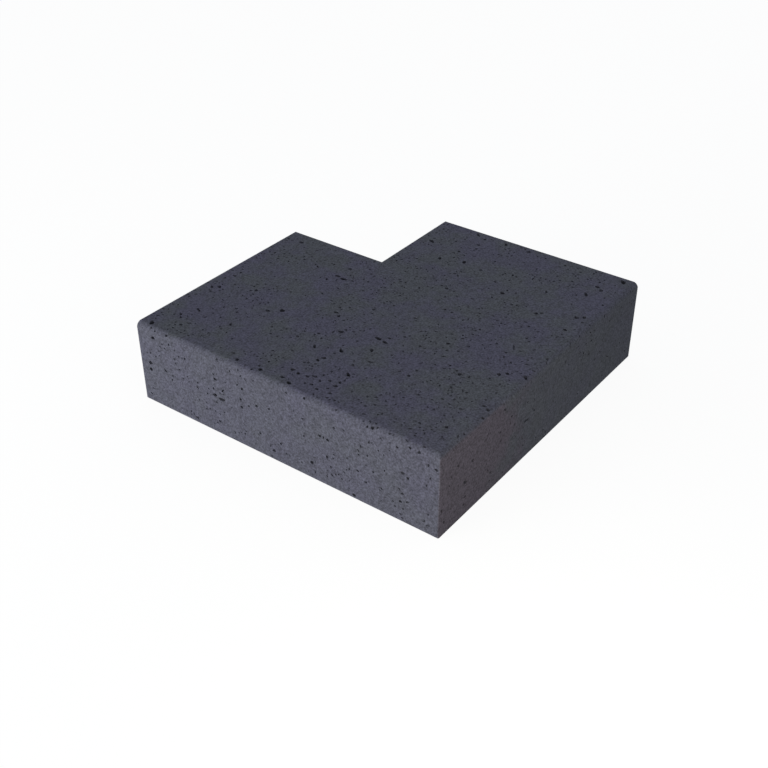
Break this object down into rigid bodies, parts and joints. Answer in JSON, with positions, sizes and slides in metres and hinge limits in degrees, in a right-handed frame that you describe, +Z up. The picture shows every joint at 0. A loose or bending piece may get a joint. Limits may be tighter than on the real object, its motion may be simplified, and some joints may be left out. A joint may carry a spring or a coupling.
{
  "type": "corner step block",
  "caption": "L-shaped cast concrete step block for the outer corner of a flight of steps, with rounded top edges on both front sides and a square notch at the back.",
  "frame": {"origin": "on the bed, the flat underside, at the middle of the square that encloses the L-shaped plan", "axes": "+Z up from the bed to the tread; the front side faces -Y, the right side faces +X, the outer corner is at +X -Y and the notch at -X +Y"},
  "size_m": [0.6, 0.6, 0.15],
  "materials": {
    "anthracite_concrete": "matte"
  },
  "bodies": {
    "root": {"step_block": "anthracite_concrete"}
  },
  "joints": []
}
